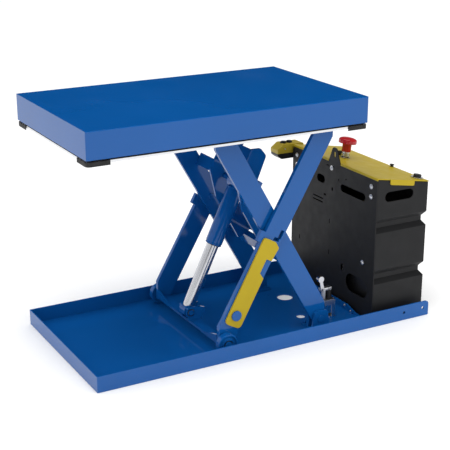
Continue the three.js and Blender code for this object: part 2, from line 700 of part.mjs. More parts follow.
// The sloping lid: a sheet with a turned-down front flange and a tab on each side.
function unitLid() {
  const top = (x) => [x, lidTop(x)];
  const under = (x) => [x, lidTop(x) - SHEET];
  const flange = UNIT_FRONT + 2.6;
  const sheetShape = outline([
    [UNIT_FRONT, UNIT_FRONT_TOP + GAP], [flange, UNIT_FRONT_TOP + GAP], under(flange),
    under(UNIT_BACK + 2), top(UNIT_BACK + 2), top(UNIT_FRONT + 2), [UNIT_FRONT, LID_FRONT - 2],
  ]);
  const tabEnds = [437, 532];
  const tabs = SIDES.flatMap(([, sign]) => {
    const tabShape = outline([
      top(tabEnds[0]), [tabEnds[0], lidTop(tabEnds[0]) - 18, 6],
      [tabEnds[1], lidTop(tabEnds[1]) - 18, 6], top(tabEnds[1]),
    ]);
    const bridgeShape = outline([top(tabEnds[0]), under(tabEnds[0]), under(tabEnds[1]), top(tabEnds[1])]);
    const tabRange = [UNIT_HALF_WIDTH + GAP, UNIT_HALF_WIDTH + GAP + 2.5];
    return [
      plateY(tabShape, onSide(sign, tabRange)),
      plateY(bridgeShape, onSide(sign, [UNIT_HALF_WIDTH - 10, tabRange[1]])),
    ];
  });
  const notchX = [UNIT_FRONT - OVER, UNIT_FRONT + SHEET + GAP];
  const notch = block(notchX, [-43, 28], [UNIT_FRONT_TOP - OVER, LIFTING_EYE.top]);
  return cut(join(plateY(sheetShape, bothSides(UNIT_HALF_WIDTH)), ...tabs), notch);
}

// A frame on the lid's top face, with its Z square to the lid.
function onLid(x, y, ...children) {
  const frame = group(...children);
  frame.position.set(x, y, lidTop(x));
  frame.rotation.y = LID_TILT;
  return frame;
}

// A mushroom button on a stem that slides in a collar. The button's neck slides over the collar.
function emergencyStop() {
  const stemRadius = 7;
  const stemTop = 50;
  const neck = { radius: 15.5, bottom: 21.5 };
  const collar = { radius: 11.4, top: 29 };
  const press = 6;
  const collarBody = join(barZ(0, 0, 16, [GAP, 4], FINE), barZ(0, 0, collar.radius, [2, collar.top]));
  const capProfile = [[0, 50], [27, 50], [31, 53], [31, 62], [27, 68], [13, 70.5], [0, 71]];
  const capPoints = capProfile.map((point) => new THREE.Vector2(...point));
  const cap = solidOf(new THREE.LatheGeometry(capPoints, FINE).rotateX(Math.PI / 2));
  const well = barZ(0, 0, collar.radius + 1, [neck.bottom - OVER, collar.top + press + 2]);
  const head = cut(
    join(cap, barZ(0, 0, neck.radius, [neck.bottom, 56], FINE)),
    well,
    barZ(0, 0, stemRadius + GAP, [neck.bottom, stemTop + GAP]),
  );
  return onLid(
    ESTOP.x, ESTOP.y,
    piece('estop_collar', cut(collarBody, barZ(0, 0, stemRadius + GAP, [2, 40])), chrome),
    piece('estop_stem', barZ(0, 0, stemRadius, [9, stemTop]), zinc),
    piece('estop_button', head, redPlastic),
  );
}

function chargeSocket() {
  const flange = barZ(0, 0, 19, [GAP, 3.5], FINE);
  const cap = barZ(0, 0, 13, [3, 12]);
  return onLid(570, -214, piece('charge_socket', join(flange, cap), blackPlastic));
}

function keySwitch() {
  const body = join(barZ(0, 0, 9, [GAP, 7]), softBlock([-12, 12], [-4, 4], [6, 15], 2));
  return onLid(480, 95, piece('key_switch', body, blackPlastic));
}

// ---------------------------------------------------------------- pendant

const PENDANT = { left: 330, right: 436, y: [256, 304], bottom: 437, joint: 457, top: 489 };
const PENDANT_BUTTONS = { up: PENDANT.left + 36, down: PENDANT.left + 60 };

function pendant() {
  const { left, right, y, bottom, joint, top } = PENDANT;
  const middle = (y[0] + y[1]) / 2;
  const caseShape = outline([
    [left, joint], [right, joint], [right, top - 2, 8], [left + 24, top, 6], [left, joint + 14, 6],
  ]);
  const baseShape = outline([
    [left + 1, joint - GAP], [left + 1, joint - 8, 5], [left + 16, bottom, 8],
    [right - 10, bottom, 6], [right - 1, joint - 8, 5], [right - 1, joint - GAP],
  ]);
  const buttonRadius = 9;
  const buttonWells = Object.values(PENDANT_BUTTONS).map((x) =>
    barZ(x, middle, buttonRadius + GAP, [top - 14, top + OVER]));
  const buttons = Object.entries(PENDANT_BUTTONS).map(([name, x]) =>
    piece(`pendant_button_${name}`, barZ(x, middle, buttonRadius, [top - 9, top + 3]), blackPlastic));
  return group(
    piece('pendant_case', cut(plateY(caseShape, y), ...buttonWells), yellowPlastic),
    piece('pendant_base', plateY(baseShape, grown(y, -1)), blackPlastic),
    ...buttons,
  );
}

// The bent strap on the cover that the pendant rests in.
function pendantCradle() {
  const x = [399, 419];
  const wall = UNIT_HALF_WIDTH + GAP;
  const lip = PENDANT.y[1] + GAP;
  const shelf = PENDANT.bottom - GAP;
  return join(
    block(x, [wall, wall + 3], [shelf - 45, shelf + 8]),
    block(x, [wall, lip + 3], [shelf - 3, shelf]),
    block(x, [lip, lip + 3], [shelf - 3, shelf + 8]),
  );
}

// ---------------------------------------------------------------- inside the power unit

function unitInside() {
  const battery = join(
    softBlock([412, 566], [-225, -60], [ON_FLOOR, 215], 6),
    barZ(445, -190, 9, [210, 228]),
    barZ(445, -95, 9, [210, 228]),
  );
  const tank = softBlock([412, 566], [-45, 225], [ON_FLOOR, 125], 8);
  const filler = barZ(540, 190, 12, [110, 130]);
  const pump = join(softBlock([440, 530], [20, 90], [130, 240], 6), barX(55, 200, 14, [412, 445]));
  const relay = softBlock([465, 505], [100, 180], [230, 262], 4);
  const motor = join(barY(485, 185, 54, [90 + GAP, 222], FINE), relay);
  return group(
    piece('battery', battery, blackPlastic),
    piece('oil_reservoir', cut(tank, filler), greyPlastic),
    piece('pump_block', pump, aluminium),
    piece('pump_motor', motor, darkSteel),
  );
}

// ---------------------------------------------------------------- travel switch

// A lever switch on a cranked bracket beside the front inner leg.
function travelSwitch() {
  const face = [-152, -149];              // the bracket's flat plate
  const head = [-158, -143];
  const ledgeTop = 72;
  const barRange = [104, 115];
  const plateShape = outline([
    [296, ON_FLOOR], [309, ON_FLOOR], [309, 62, 3], [303, ledgeTop, 3], [258, ledgeTop],
    [258, 47], [296, 47],
  ]);
  const bracket = join(
    plateY(plateShape, face),
    block([290, 312], [face[0], -128], [ON_FLOOR, ON_FLOOR + 3]),
    block([258, 300], [-162, -138], [ledgeTop - 3, ledgeTop]),
    block([257, 267], [-155, -146], [ledgeTop - 10, barRange[1] - 2]),
    softBlock([247, 290], head, barRange, 2),
  );
  const body = join(
    barZ(282, -150, 10.5, [ledgeTop + GAP, barRange[0] - GAP], FINE),
    barZ(282, -150, 11.5, [ledgeTop + GAP, ledgeTop + 5], FINE),
  );
  const pivot = { x: 253, z: 110 };
  const ball = { x: 242.5, z: 150, radius: 10.5 };
  const arm = outline([
    [pivot.x - 6, pivot.z - 3], [pivot.x + 6, pivot.z], [ball.x + 6, ball.z], [ball.x - 5, ball.z],
  ]);
  const armRange = [head[0] - 4, head[0] - GAP];
  const lever = join(
    plateY(arm, armRange),
    barY(pivot.x, pivot.z, 7, armRange),
    barY(ball.x, ball.z, ball.radius, [head[0] - 8, head[0] + 7], FINE),
  );
  return group(
    piece('switch_bracket', bracket, zinc),
    piece('travel_switch', body, blackPlastic),
    piece('switch_lever', lever, chrome),
  );
}

// ---------------------------------------------------------------- the whole table

export default group(
  base(),
  innerLegs(),
  outerLegs(),
  rollers(),
  cylinder(),
  platform(),
  toeGuard(),
  piece('unit_front_plate', unitFrontPlate(), blackSheet),
  piece('unit_cover', unitCover(), blackSheet),
  piece('unit_lid', unitLid(), yellowPaint),
  emergencyStop(),
  chargeSocket(),
  keySwitch(),
  pendant(),
  piece('pendant_cradle', pendantCradle(), blackSheet),
  unitInside(),
  travelSwitch(),
);
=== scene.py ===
"""Looks for the scissor lift table: materials, small fittings, studio light and camera."""
import json
import math

import bmesh
import bpy
from mathutils import Matrix, Vector


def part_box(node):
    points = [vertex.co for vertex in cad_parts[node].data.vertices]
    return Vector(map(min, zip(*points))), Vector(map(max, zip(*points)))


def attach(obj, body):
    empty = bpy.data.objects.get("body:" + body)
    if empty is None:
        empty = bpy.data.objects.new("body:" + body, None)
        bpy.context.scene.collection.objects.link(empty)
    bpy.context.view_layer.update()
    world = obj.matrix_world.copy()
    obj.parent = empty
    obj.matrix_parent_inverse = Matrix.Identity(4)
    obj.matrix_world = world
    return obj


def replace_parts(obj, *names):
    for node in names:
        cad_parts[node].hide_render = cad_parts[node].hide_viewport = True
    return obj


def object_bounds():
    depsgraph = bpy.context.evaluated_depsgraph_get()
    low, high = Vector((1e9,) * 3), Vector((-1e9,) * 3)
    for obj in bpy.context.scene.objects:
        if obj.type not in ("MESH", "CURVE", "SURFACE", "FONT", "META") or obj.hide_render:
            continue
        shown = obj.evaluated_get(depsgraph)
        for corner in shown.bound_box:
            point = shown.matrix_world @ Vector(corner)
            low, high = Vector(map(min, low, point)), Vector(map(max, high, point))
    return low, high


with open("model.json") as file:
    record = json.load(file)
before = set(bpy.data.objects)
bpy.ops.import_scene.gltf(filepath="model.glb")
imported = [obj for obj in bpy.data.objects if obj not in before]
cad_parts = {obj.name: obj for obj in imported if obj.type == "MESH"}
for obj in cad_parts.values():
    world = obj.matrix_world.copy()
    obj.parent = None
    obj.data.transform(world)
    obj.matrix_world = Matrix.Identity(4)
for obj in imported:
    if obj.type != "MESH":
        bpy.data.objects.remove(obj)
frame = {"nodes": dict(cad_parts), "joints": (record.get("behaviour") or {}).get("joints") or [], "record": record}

CAD_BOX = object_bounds()
MM = 0.001
SIDES = (("front", -1), ("back", 1))      # with the sign of each side's Y
LEG_PIN = 12                              # radius of the legs' pins, in millimetres
RAM_PIN = 9                               # radius of the ram's lower pin
NODES = frame["nodes"]
JOINTS = {joint["name"]: joint for joint in frame["joints"]}

# ---------------------------------------------------------------- camera and light settings

CAMERA_PLACE = Vector((-1.6746, -3.0004, 1.4907))
CAMERA_YAW = math.radians(28.86)          # turned from +Y towards +X
CAMERA_PITCH = math.radians(18.71)        # looking down
CAMERA_LENS = 90.74
SENSOR = 36.0
SKY_STRENGTH = 1.0
HORIZON_FADE = (0.05, 0.165)             # sine of the elevation where reflected sky darkens
FLOOR_GLOW = 0.12                         # keeps the floor white where the table shades it
FLOOR_HALF = 30.0
LIGHT_TARGET = Vector((0, 0, 0.4))

# ---------------------------------------------------------------- colours, as linear light

BLUE = (0.0035, 0.088, 0.325)
BLACK_PAINT = (0.0135, 0.0138, 0.0150)
YELLOW = (0.44, 0.325, 0.012)
YELLOW_MOULDED = (0.42, 0.31, 0.02)
RED = (0.42, 0.012, 0.016)
RUBBER = (0.009, 0.009, 0.010)
BLACK_MOULDED = (0.010, 0.010, 0.011)
CHROME = (0.60, 0.61, 0.65)
ZINC = (0.86, 0.87, 0.89)
ALUMINIUM = (0.80, 0.81, 0.83)
DARK_STEEL = (0.16, 0.165, 0.175)
GREY_MOULDED = (0.30, 0.31, 0.32)
FLOOR_COLOUR = (0.90, 0.90, 0.90)


# ---------------------------------------------------------------- material helpers

class Paint:
    """A Principled material that is being put together, patterned in object coordinates."""

    def __init__(self, name):
        self.material = bpy.data.materials.new(name)
        self.material.use_nodes = True
        self.nodes = self.material.node_tree.nodes
        self.links = self.material.node_tree.links
        self.shader = self.nodes["Principled BSDF"]
        self.place = self.nodes.new("ShaderNodeTexCoord").outputs["Object"]

    def set(self, **values):
        """Sets the shader's own sockets, named with underscores for spaces."""
        for key, value in values.items():
            self.shader.inputs[key.replace("_", " ")].default_value = value
        return self

    def noise(self, scale, detail, stretch=(1, 1, 1)):
        """A noise pattern; a stretch over 1 along an axis draws it finer along that axis."""
        mapping = self.nodes.new("ShaderNodeMapping")
        mapping.inputs["Scale"].default_value = stretch
        noise = self.nodes.new("ShaderNodeTexNoise")
        noise.inputs["Scale"].default_value = scale
        noise.inputs["Detail"].default_value = detail
        self.links.new(self.place, mapping.inputs["Vector"])
        self.links.new(mapping.outputs["Vector"], noise.inputs["Vector"])
        return noise.outputs["Fac"]

    def between(self, factor, low, high, start=0.3, end=0.7):
        """A factor remapped to run from low to high."""
        ramp = self.nodes.new("ShaderNodeMapRange")
        ramp.inputs["From Min"].default_value = start
        ramp.inputs["From Max"].default_value = end
        ramp.inputs["To Min"].default_value = low
        ramp.inputs["To Max"].default_value = high
        self.links.new(factor, ramp.inputs["Value"])
        return ramp.outputs["Result"]

    def colour(self, factor, first, second):
        """Mixes the base colour from first to second as the factor runs from 0 to 1."""
        mix = self.nodes.new("ShaderNodeMix")
        mix.data_type = "RGBA"
        mix.inputs["A"].default_value = (*first, 1)
        mix.inputs["B"].default_value = (*second, 1)
        self.links.new(factor, mix.inputs["Factor"])
        self.links.new(mix.outputs["Result"], self.shader.inputs["Base Color"])

    def rough(self, factor, low, high):
        """Varies the roughness between two values."""
        self.links.new(self.between(factor, low, high), self.shader.inputs["Roughness"])

    def bump(self, factor, height, strength):
        """Raises the surface by up to a height in metres."""
        bump = self.nodes.new("ShaderNodeBump")
        bump.inputs["Strength"].default_value = strength
        bump.inputs["Distance"].default_value = height
        self.links.new(factor, bump.inputs["Height"])
        self.links.new(bump.outputs["Normal"], self.shader.inputs["Normal"])


def tint(colour, gain):
    """The colour made brighter or darker by a gain."""
    return tuple(channel * gain for channel in colour)


def enamel():
    """Glossy wet paint: faint orange peel and a slow drift in colour and gloss."""
    paint = Paint("blue_enamel")
    drift = paint.between(paint.noise(2.2, 3), 0, 1)
    paint.colour(drift, tint(BLUE, 0.93), tint(BLUE, 1.07))
    paint.rough(paint.noise(9, 3), 0.05, 0.10)
    paint.bump(paint.noise(260, 1), 0.00003, 0.35)
    return paint.set(IOR=1.43).material


def powder_coat(name, colour, roughness):
    """Satin powder coat: a fine pebbled skin and small changes of tone."""
    paint = Paint(name)
    tone = paint.between(paint.noise(6, 4), 0, 1)
    paint.colour(tone, tint(colour, 0.95), tint(colour, 1.05))
    paint.rough(paint.noise(30, 3), roughness - 0.05, roughness + 0.06)
    paint.bump(paint.noise(900, 2), 0.00006, 0.45)
    return paint.set(Specular_IOR_Level=0.2).material


def moulded(name, colour, roughness):
    """Moulded plastic with a spark-eroded grain."""
    paint = Paint(name)
    tone = paint.between(paint.noise(14, 3), 0, 1)
    paint.colour(tone, tint(colour, 0.88), tint(colour, 1.12))
    paint.rough(paint.noise(60, 2), roughness - 0.05, roughness + 0.06)
    paint.bump(paint.noise(1400, 2), 0.00008, 0.4)
    return paint.material


def metal(name, colour, roughness, grain, grain_scale, depth):
    """Bare or plated metal with a directional grain and slight staining."""
    paint = Paint(name)
    stain = paint.between(paint.noise(12, 3), 0, 1)
    paint.colour(stain, tint(colour, 0.95), tint(colour, 1.0))
    lines = paint.noise(grain_scale, 3, grain)
    paint.rough(lines, roughness * 0.9, roughness * 1.12)
    paint.bump(lines, depth, 0.2)
    return paint.set(Metallic=1.0).material


def rubber():
    """Matt black rubber with a dusty bloom."""
    paint = Paint("black_rubber")
    dust = paint.between(paint.noise(40, 5), 0, 1, 0.45, 0.8)
    paint.colour(dust, RUBBER, tint(RUBBER, 2.2))
    paint.rough(paint.noise(120, 3), 0.55, 0.75)
    paint.bump(paint.noise(700, 3), 0.0001, 0.5)
    return paint.material


def clear_plastic():
    paint = Paint("clear_plastic")
    paint.rough(paint.noise(50, 2), 0.02, 0.06)
    return paint.set(Base_Color=(0.95, 0.97, 0.98, 1), Transmission_Weight=1.0, IOR=1.46).material


MATERIAL_OF_SLOT = {
    "blue_paint": enamel(),
    "black_sheet": powder_coat("black_powder_coat", BLACK_PAINT, 0.5),
    "yellow_paint": powder_coat("yellow_powder_coat", YELLOW, 0.38),
    "chrome": metal("hard_chrome", CHROME, 0.20, (1, 1, 1), 40, 0.000001),
    "zinc_steel": metal("zinc_plate", ZINC, 0.36, (1, 1, 1), 180, 0.00001),
    "dark_steel": metal("machined_steel", DARK_STEEL, 0.40, (1, 8, 1), 160, 0.00001),
    "aluminium": metal("satin_aluminium", ALUMINIUM, 0.32, (1, 12, 12), 90, 0.00002),
    "black_rubber": rubber(),
    "black_plastic": moulded("black_moulding", BLACK_MOULDED, 0.42),
    "yellow_plastic": moulded("yellow_moulding", YELLOW_MOULDED, 0.40),
    "red_plastic": moulded("red_moulding", RED, 0.22),
    "grey_plastic": moulded("grey_moulding", GREY_MOULDED, 0.45),
    "clear_plastic": clear_plastic(),
}


# ---------------------------------------------------------------- CAD nodes

# Width in millimetres of the rounding on a node's edges, where it isn't the usual one.
EDGE = {
    "platform_deck": 2.5,
    "base_pan": 1.0,
    "unit_cover": 1.2,
    "unit_front_plate": 0.6,
    "unit_lid": 0.8,
    "maintenance_prop": 0.8,
    "pendant_case": 2.0,
    "pendant_base": 2.5,
    "toe_guard_rail": 0.4,
    "switch_lever": 0.5,
    "travel_switch": 0.6,
    "switch_bracket": 0.5,
}
USUAL_EDGE = 0.9


def soften(thing, width, segments=3, angle=30, weighted=False):
    """Welds and rounds a mesh's sharp edges, and shades it smoothly between them.

    Weighted normals keep the large flat faces of sheet and plate flat; turned pieces do without.
    """
    thing.data.polygons.foreach_set("use_smooth", [True] * len(thing.data.polygons))
    weld = thing.modifiers.new("weld", "WELD")
    weld.merge_threshold = 0.00002
    bevel = thing.modifiers.new("round", "BEVEL")
    bevel.width = width * MM
    bevel.segments = segments
    bevel.limit_method = "ANGLE"
    bevel.angle_limit = math.radians(angle)
    bevel.use_clamp_overlap = True
    bevel.harden_normals = not weighted
    if weighted:
        normals = thing.modifiers.new("normals", "WEIGHTED_NORMAL")
        normals.weight = 80
    return thing


def dress_cad_nodes():
    """Gives each CAD node its slot's material and rounds its edges."""
    for entry in frame["record"]["subparts"]:
        node = NODES[entry["node"]]
        node.data.materials.clear()
        node.data.materials.append(MATERIAL_OF_SLOT[entry["material_slot"]])
        soften(node, EDGE.get(entry["node"], USUAL_EDGE), weighted=True)


# ---------------------------------------------------------------- mesh pieces

def add_piece(name, mesh, body, slot_name):
    """Makes an object of a mesh, in its slot's material, that rides on a body."""
    mesh.materials.append(MATERIAL_OF_SLOT[slot_name])
    thing = bpy.data.objects.new(name, mesh)
    bpy.context.scene.collection.objects.link(thing)
    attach(thing, body)
    return thing


def frame_on(place, axis):
    """A matrix whose local Z runs along axis, with its origin at place."""
    turn = Vector(axis).to_track_quat("Z", "Y").to_matrix().to_4x4()
    return Matrix.Translation(place) @ turn


def finished(name, bm, matrix):
    """The mesh of a bmesh that is done, moved by a matrix and with its faces pointing out."""
    bmesh.ops.recalc_face_normals(bm, faces=bm.faces)
    mesh = bpy.data.meshes.new(name)
    bm.to_mesh(mesh)
    bm.free()
    mesh.transform(matrix)
    return mesh


def turned(name, profile, matrix, sides, body, slot_name, wobble=None):
    """A piece turned about local Z; profile points are (radius, height) in mm.

    A profile that starts on the axis runs to its last point, and any other closes on itself.
    wobble(angle, radius, height) may give a changed radius.
    """
    bm = bmesh.new()
    rings = []
    for radius, height in profile:
        if radius == 0:
            rings.append([bm.verts.new((0, 0, height * MM))])
            continue
        ring = []
        for step in range(sides):
            angle = 2 * math.pi * step / sides
            reach = (wobble(angle, radius, height) if wobble else radius) * MM
            ring.append(bm.verts.new((reach * math.cos(angle), reach * math.sin(angle), height * MM)))
        rings.append(ring)
    if profile[0][0] > 0:
        rings.append(rings[0])
    for lower, upper in zip(rings, rings[1:]):
        for step in range(sides):
            after = (step + 1) % sides
            corners = [lower[step % len(lower)], lower[after % len(lower)],
                       upper[after % len(upper)], upper[step % len(upper)]]
            unique = list(dict.fromkeys(corners))
            if len(unique) > 2:
                bm.faces.new(unique)
    return add_piece(name, finished(name, bm, matrix), body, slot_name)


def prism(name, outline, matrix, low, high, body, slot_name):
    """A straight-sided piece from an outline in local X and Y, between two heights, all in mm."""
    bm = bmesh.new()
    bottom = [bm.verts.new((x * MM, y * MM, low * MM)) for x, y in outline]
    top = [bm.verts.new((x * MM, y * MM, high * MM)) for x, y in outline]
    bm.faces.new(list(reversed(bottom)))
    bm.faces.new(top)
    count = len(outline)
    for index in range(count):
        after = (index + 1) % count
        bm.faces.new([bottom[index], bottom[after], top[after], top[index]])
    return add_piece(name, finished(name, bm, matrix), body, slot_name)


def hexagon(corner):
    """A hexagon's outline, from the radius of its corners."""
    angles = [math.radians(30 + 60 * step) for step in range(6)]
    return [(corner * math.cos(angle), corner * math.sin(angle)) for angle in angles]


# ---------------------------------------------------------------- fasteners

def washer(name, matrix, body, inner, outer, thickness, slot_name):
    """A flat washer between two radii."""
    profile = [(inner, 0), (outer, 0), (outer, thickness), (inner, thickness)]
    turned(name, profile, matrix, 40, body, slot_name)


def button_screw(name, place, axis, body, radius):
    """A domed screw with a hexagon socket, on its washer."""
    matrix = frame_on(place, axis)
    seat = 1.1
    washer(name + "_washer", matrix, body, radius * 0.5, radius * 1.45, seat, "zinc_steel")
    shoulder = 1.9
    rise = radius * 0.62
    socket = radius * 0.42
    socket_floor = 2.2
    steps = 5
    dome = [(0, seat), (radius, seat), (radius, shoulder)]
    for step in range(1, steps + 1):
        angle = math.radians(75 * step / steps)
        dome.append((radius * math.cos(angle), shoulder + rise * math.sin(angle)))
    dome += [(socket, shoulder + rise), (socket, socket_floor), (0, socket_floor)]

    def six_sided(angle, reach, height):
        """Draws the socket's rings as hexagons and leaves the others round."""
        if abs(reach - socket) > 0.001:
            return reach
        inner = (angle + math.pi / 6) % (math.pi / 3) - math.pi / 6
        return reach * math.cos(math.pi / 6) / math.cos(inner) * 1.08

    soften(turned(name, dome, matrix, 48, body, "zinc_steel", six_sided), 0.25, 2, 35)


def hex_bolt(name, place, axis, body, across, height, slot_name):
    """A hexagon bolt head with rounded edges, on a washer."""
    matrix = frame_on(place, axis)
    seat = 1.4
    washer(name + "_washer", matrix, body, across * 0.3, across * 0.8, seat, slot_name)
    head = prism(name, hexagon(across / math.sqrt(3)), matrix, seat, seat + height, body, slot_name)
    soften(head, 0.7, 2)


def circlip(name, place, axis, body, bore):
    """A flat retaining ring with a gap, on the end of a pin."""
    inner = bore - 0.6
    outer = bore + 3.2
    half_gap = math.radians(16)
    steps = 44
    sweep = [half_gap + (2 * math.pi - 2 * half_gap) * step / steps for step in range(steps + 1)]
    outline = [(outer * math.cos(angle), outer * math.sin(angle)) for angle in sweep]
    outline += [(inner * math.cos(angle), inner * math.sin(angle)) for angle in reversed(sweep)]
    soften(prism(name, outline, frame_on(place, axis), 0, 1.2, body, "dark_steel"), 0.2, 2)


def clip_on(name, node, sign, outwards, body, bore):
    """A circlip at a node's front (sign -1) or back (1) face, a few millimetres outwards of it."""
    low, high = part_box(node)
    middle = (low + high) / 2
    face = low.y if sign < 0 else high.y
    place = Vector((middle.x, face + sign * outwards * MM, middle.z))
    circlip(name, place, (0, sign, 0), body, bore)


def pin_ends():
    """Circlips just inside the ends of the long pins and on the lower rollers' stub axles."""
    for side, sign in SIDES:
        clip_on(f"upper_roller_axle_clip_{side}", "upper_roller_axle", sign, -2.4, "inner_legs", LEG_PIN)
        clip_on(f"ram_pin_clip_{side}", "ram_pin", sign, -2.4, "outer_legs", RAM_PIN)
        clip_on(f"deck_hinge_clip_{side}", f"deck_hinge_pin_{side}", sign, -2.2, "platform", LEG_PIN)
        clip_on(f"stub_axle_clip_{side}", f"lower_roller_{side}", sign, 0.4, "outer_legs", LEG_PIN)


def unit_screws():
    """Screws in the power unit's left face, at (y, z) in millimetres."""
    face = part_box("unit_front_plate")[0].x
    places = [(-216.5, 456), (-217, 422.5), (221.5, 456.5), (220.3, 422.5), (7, 461.6), (-185, 190)]
    for index, (y, z) in enumerate(places):
        place = Vector((face, y * MM, z * MM))
        button_screw(f"unit_screw_{index + 1}", place, (-1, 0, 0), "base", 5.5)


def base_bolts():
    """Bolts through the stop angle and the feet of the hinge brackets."""
    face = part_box("unit_stop_angle")[0].x
    for index, (y, z) in enumerate(((-118, 19), (-152, 9.5))):
        place = Vector((face, y * MM, z * MM))
        button_screw(f"stop_screw_{index + 1}", place, (-1, 0, 0), "base", 3.2)
    foot_top = 8.8 * MM
    end_margin = 12 * MM
    side_margin = 11 * MM
    for side, sign in SIDES:
        low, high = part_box(f"base_hinge_bracket_{side}")
        y = (high.y if sign < 0 else low.y) + sign * side_margin
        for end, x in (("left", low.x + end_margin), ("right", high.x - end_margin)):
            place = Vector((x, y, foot_top))
            hex_bolt(f"bracket_bolt_{side}_{end}", place, (0, 0, 1), "base", 13, 5, "blue_paint")


# ---------------------------------------------------------------- cylinder

def pin_eye(name, matrix, body, bore, outer, half):
    """The eye on one end of the cylinder; half is half its length along the pin."""
    profile = [(bore, -half), (outer - 1, -half), (outer, 1 - half), (outer, half - 1), (outer - 1, half),
               (bore, half)]
    soften(turned(name, profile, matrix, 72, body, "blue_paint"), 0.4, 2)


def hydraulic_cylinder():
    """Barrel with its eye, weld and wiper seal, and the polished ram with its own eye."""
    lower_pin = Vector(JOINTS["ram_pivot"]["pos_m"])
    upper_pin = sum(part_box("cylinder_pin"), Vector()) / 2
    axis = Vector(JOINTS["barrel_stroke"]["axis"]).normalized()
    along = frame_on(lower_pin, axis)
    reach = (upper_pin - lower_pin).dot(axis) / MM
    start = 228                           # from the lower pin to the barrel's lower rim
    rod = 19.5                            # radius of the ram
    tube = turned("barrel_tube", [
        (20.3, start), (25.4, start), (26.2, start + 0.8), (26.2, start + 4), (25.4, start + 4.6),
        (25.4, start + 6.2), (26.2, start + 6.6), (27, start + 7.4), (27, reach - 26), (25.6, reach - 23),
        (14, reach - 22), (14, reach - 32), (20.3, reach - 33),
    ], along, 96, "barrel", "blue_paint")
    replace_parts(soften(tube, 0.4, 2), "cylinder_barrel")
    pin_eye("barrel_eye", frame_on(lower_pin + axis * reach * MM, (0, 1, 0)), "barrel", 10.3, 27, 25)
    bead = turned("barrel_weld", [
        (16, reach - 26), (26.6, reach - 26), (26.4, reach - 22), (24, reach - 19), (16, reach - 18),
    ], along, 72, "barrel", "blue_paint")
    soften(bead, 0.5, 2)
    turned("wiper_seal", [
        (rod + 0.15, start - 2.2), (23.5, start - 1.2), (23.8, start - 0.1), (rod + 0.15, start - 0.1),
    ], along, 72, "barrel", "black_rubber")
    polished = turned("ram_rod", [
        (0, 12), (rod - 1.2, 12), (rod, 20), (rod, start + 44), (rod - 1.5, start + 46), (0, start + 46),
    ], along, 96, "ram", "chrome")
    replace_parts(soften(polished, 0.3, 2), "cylinder_ram")
    pin_eye("ram_eye", frame_on(lower_pin, (0, 1, 0)), "ram", 9.3, 20, 19)


# ---------------------------------------------------------------- rollers

def roller_wheel(node, slot_name):
    """A turned wheel with a raised hub, a shallow web and a chamfered tread, on its own body."""
    low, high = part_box(node)
    middle = (low + high) / 2
    radius = (high.z - low.z) / 2 / MM
    half = (high.y - low.y) / 2 / MM
    hub = 19
    web = half - 3
    rim = radius - 6
    profile = [
        (12.3, -half), (hub, -half), (hub + 1, -web), (rim - 1, -web), (rim, -half + 0.4),
        (radius - 1.5, -half + 0.4), (radius, -half + 1.9), (radius, half - 1.9),
        (radius - 1.5, half - 0.4), (rim, half - 0.4), (rim - 1, web), (hub + 1, web), (hub, half),
        (12.3, half),
    ]
    wheel = turned(node + "_wheel", profile, frame_on(middle, (0, 1, 0)), 80, node, slot_name)
    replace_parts(soften(wheel, 0.5, 2, 20), node)


def rollers():
    """The four wheels: painted ones in the pan and machined ones under the deck."""
    for side in ("front", "back"):
        roller_wheel(f"lower_roller_{side}", "blue_paint")
        roller_wheel(f"upper_roller_{side}", "dark_steel")


# ---------------------------------------------------------------- emergency stop and lid fittings

def lid_frame(x, y):
    """A matrix on the lid's top face with local Z square to it."""
    joint = JOINTS["key_turn"]
    normal = Vector(joint["axis"]).normalized()
    anchor = Vector(joint["pos_m"])
    height = anchor.z - (x * MM - anchor.x) * normal.x / normal.z
    return frame_on(Vector((x * MM, y * MM, height)), normal)


def emergency_stop():
    """The mushroom button, its ribbed collar and the clear guard ring round the collar."""
    place = Vector(JOINTS["estop_twist"]["pos_m"]) / MM
    matrix = lid_frame(place.x, place.y)

    def grips(angle, reach, height):
        """Sixteen shallow finger grips round the button's rim."""
        deep = 0.8 if 51.5 < height < 66 and reach > 28 else 0.0
        return reach - deep * (0.5 - 0.5 * math.cos(16 * angle))

    head = [(12.4, 22), (15, 21.5), (15.5, 22.5), (15.5, 48), (17, 50), (24, 50.4), (29, 50.2), (30.6, 51.4),
            (31, 53), (31, 61), (30.2, 63.6), (27, 66.6), (21, 69), (12, 70.6), (0, 71)]
    inside = [(0, 50.3), (12.4, 50.3)]
    cap = turned("estop_mushroom", inside + head, matrix, 128, "estop_button", "red_plastic", grips)
    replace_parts(soften(cap, 0.5, 2, 40), "estop_button")

    def ribs(angle, reach, height):
        """Twelve flutes up the collar's barrel."""
        deep = 1.3 if height > 5 and reach > 11 else 0.0
        return reach - deep * (0.5 - 0.5 * math.cos(12 * angle))

    # The profile stops at the foot of the collar's bore, where the stem covers the inside.
    collar = [(0, 0.3), (16, 0.3), (16, 3), (15, 4), (11.4, 5), (11.4, 28), (10.6, 29), (7.3, 29), (7.3, 2)]
    ring = turned("estop_barrel", collar, matrix, 120, "lid", "chrome", ribs)
    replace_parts(soften(ring, 0.3, 2, 35), "estop_collar")

    guard = [(13.2, 4.1), (14.6, 4.1), (14.6, 14.6), (14.2, 15), (13.6, 15), (13.2, 14.6)]
    turned("estop_guard", guard, matrix, 96, "lid", "clear_plastic")


